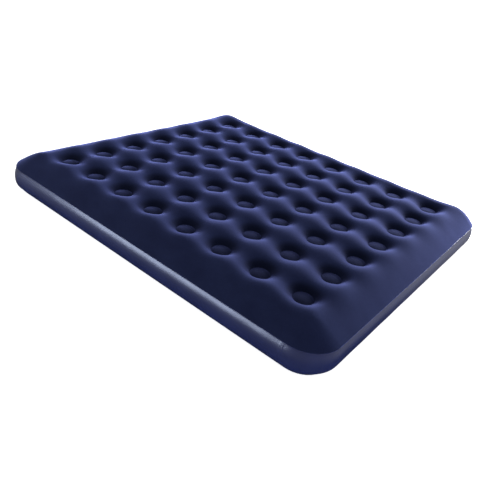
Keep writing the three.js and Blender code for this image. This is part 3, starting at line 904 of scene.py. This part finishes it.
top = piece(make_top(), FLOCK, "top", "top_sheet")
top_bead = ring_bead("top_seam_bead", TOP_BEAD_INSET, TOP_BEAD_Z, TOP_BEAD_R)
piece(top_bead, VINYL, "top", "top_perimeter_weld")
band = piece(make_band(), VINYL, "base", "side_band")
underside = piece(make_underside(), VINYL, "base", "bottom_sheet")
bottom_bead = ring_bead("bottom_seam_bead", BOTTOM_BEAD_INSET, BAND_FOOT, BOTTOM_BEAD_R)
piece(bottom_bead, VINYL, "base", "bottom_perimeter_weld")
squash(band)
lap_strip = piece(make_lap_strip(), VINYL, "base", "side_band_lap_strip")
squash(lap_strip)
for number in range(1, TIES_Y + 1):
    beam = piece(make_beam(number), BEAM_VINYL, "base", f"coil_beam_{number}")
    squash(beam)

# ---- The valve ----
piece(make_valve_flange(), PLASTIC, "valve_seat", "valve_base")
piece(make_gasket(), SEAL, "gasket", "valve_gasket")
piece(make_collar(), PLASTIC, "collar", "valve_collar")
piece(make_flap_seat(), PLASTIC, "collar", "flap_seat")
piece(make_strap(), PLASTIC, "collar", "cap_strap")
piece(make_check_flap(), SEAL, "flap", "check_flap")
piece(make_cap(), PLASTIC, "cap", "inflate_cap")
hinge_film = make_hinge_film()
hinge_film.data.materials.append(PLASTIC)
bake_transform(hinge_film)

# ---- Floor, light and camera ----
FLOOR_R, FLOOR_Z, FLOOR_GLOW = 150, -0.0005, 0.85
SKY_TOWARD = (0.40, 0.85, 0.34)  # where the sky is brightest
SKY_LEVELS = (0.48, 0.98)
SKY_BELOW, SKY_BELOW_LEVELS = (-0.55, -0.15), (0.01, 1.0)  # heights of a direction, and what is left there
CAMERA_AT, CAMERA_AIM = Vector((1.48553, -2.22627, 1.34904)), Vector((0.23144, -0.40965, 0.1))
CAMERA_ROLL, CAMERA_LENS, CAMERA_SENSOR = math.radians(10.2975), 39.18, 36


def make_floor():
    """A white floor that glows a little and doesn't show in reflections."""
    count = 64
    turns = [2 * math.pi * k / count for k in range(count)]
    verts = [(FLOOR_R * math.cos(a), FLOOR_R * math.sin(a), FLOOR_Z) for a in turns]
    obj = new_object("floor", verts, [tuple(range(count))], smooth=False)
    mat, nodes, links, shader, place = tree_of("floor_white")
    patches = noise(nodes, links, place, 3, 2.0)
    tone = ramp(nodes, links, patches, [(0.3, (0.90, 0.90, 0.90)), (0.7, (0.92, 0.92, 0.92))])
    links.new(tone, shader.inputs["Base Color"])
    shader.inputs["Roughness"].default_value = 0.9
    shader.inputs["Emission Color"].default_value = (1, 1, 1, 1)
    shader.inputs["Emission Strength"].default_value = FLOOR_GLOW
    obj.data.materials.append(mat)
    obj.visible_glossy = False


def light_sky():
    """A white studio, brighter behind and to the right of the mattress, and dark below the horizon."""
    world = bpy.data.worlds.new("studio")
    bpy.context.scene.world = world
    world.use_nodes = True
    nodes, links = world.node_tree.nodes, world.node_tree.links
    direction = nodes.new("ShaderNodeTexCoord").outputs["Generated"]
    toward = vector_node(nodes, links, "DOT_PRODUCT", direction)
    toward.inputs[1].default_value = SKY_TOWARD
    level = mapped(nodes, links, toward.outputs["Value"], (0.0, 1.0), SKY_LEVELS, "SMOOTHSTEP")
    parts = nodes.new("ShaderNodeSeparateXYZ")
    links.new(direction, parts.inputs[0])
    below = mapped(nodes, links, parts.outputs["Z"], SKY_BELOW, SKY_BELOW_LEVELS)
    background = nodes["Background"]
    links.new(math_node(nodes, links, "MULTIPLY", level, below), background.inputs["Strength"])
    background.inputs["Color"].default_value = (1, 1, 1, 1)


def area_light(name, at, aim, size, power, colour=(1, 1, 1), only_reflects=False):
    data = bpy.data.lights.new(name, "AREA")
    data.shape = "RECTANGLE"
    data.size, data.size_y = size
    data.energy = power
    data.color = colour
    obj = bpy.data.objects.new(name, data)
    obj.location = at
    obj.rotation_euler = (Vector(aim) - Vector(at)).to_track_quat("-Z", "Y").to_euler()
    obj.visible_camera = False
    obj.visible_diffuse = not only_reflects
    bpy.context.scene.collection.objects.link(obj)


def place_camera():
    data = bpy.data.cameras.new("camera")
    data.lens = CAMERA_LENS
    data.sensor_width = CAMERA_SENSOR
    camera = bpy.data.objects.new("camera", data)
    facing = (CAMERA_AIM - CAMERA_AT).to_track_quat("-Z", "Y").to_matrix().to_4x4()
    camera.matrix_world = Matrix.Translation(CAMERA_AT) @ facing @ Matrix.Rotation(CAMERA_ROLL, 4, "Z")
    bpy.context.scene.collection.objects.link(camera)
    bpy.context.scene.camera = camera


make_floor()
light_sky()
area_light("key", (0.9, 4.1, 1.38), (0.1, 0, 0.1), (1.5, 1.0), 270)
BAND_LIGHT_AT, BAND_LIGHT_AIM, BAND_LIGHT_SIZE = (-1.35, -3.1, 0.62), (-1.3, -0.9, 0.4), (2.7, 1.5)
BAND_LIGHT_COLOUR = (0.70, 0.80, 1.0)
area_light("band_softbox", BAND_LIGHT_AT, BAND_LIGHT_AIM, BAND_LIGHT_SIZE, 212, BAND_LIGHT_COLOUR, True)
place_camera()
bpy.context.scene.view_settings.view_transform = "Standard"
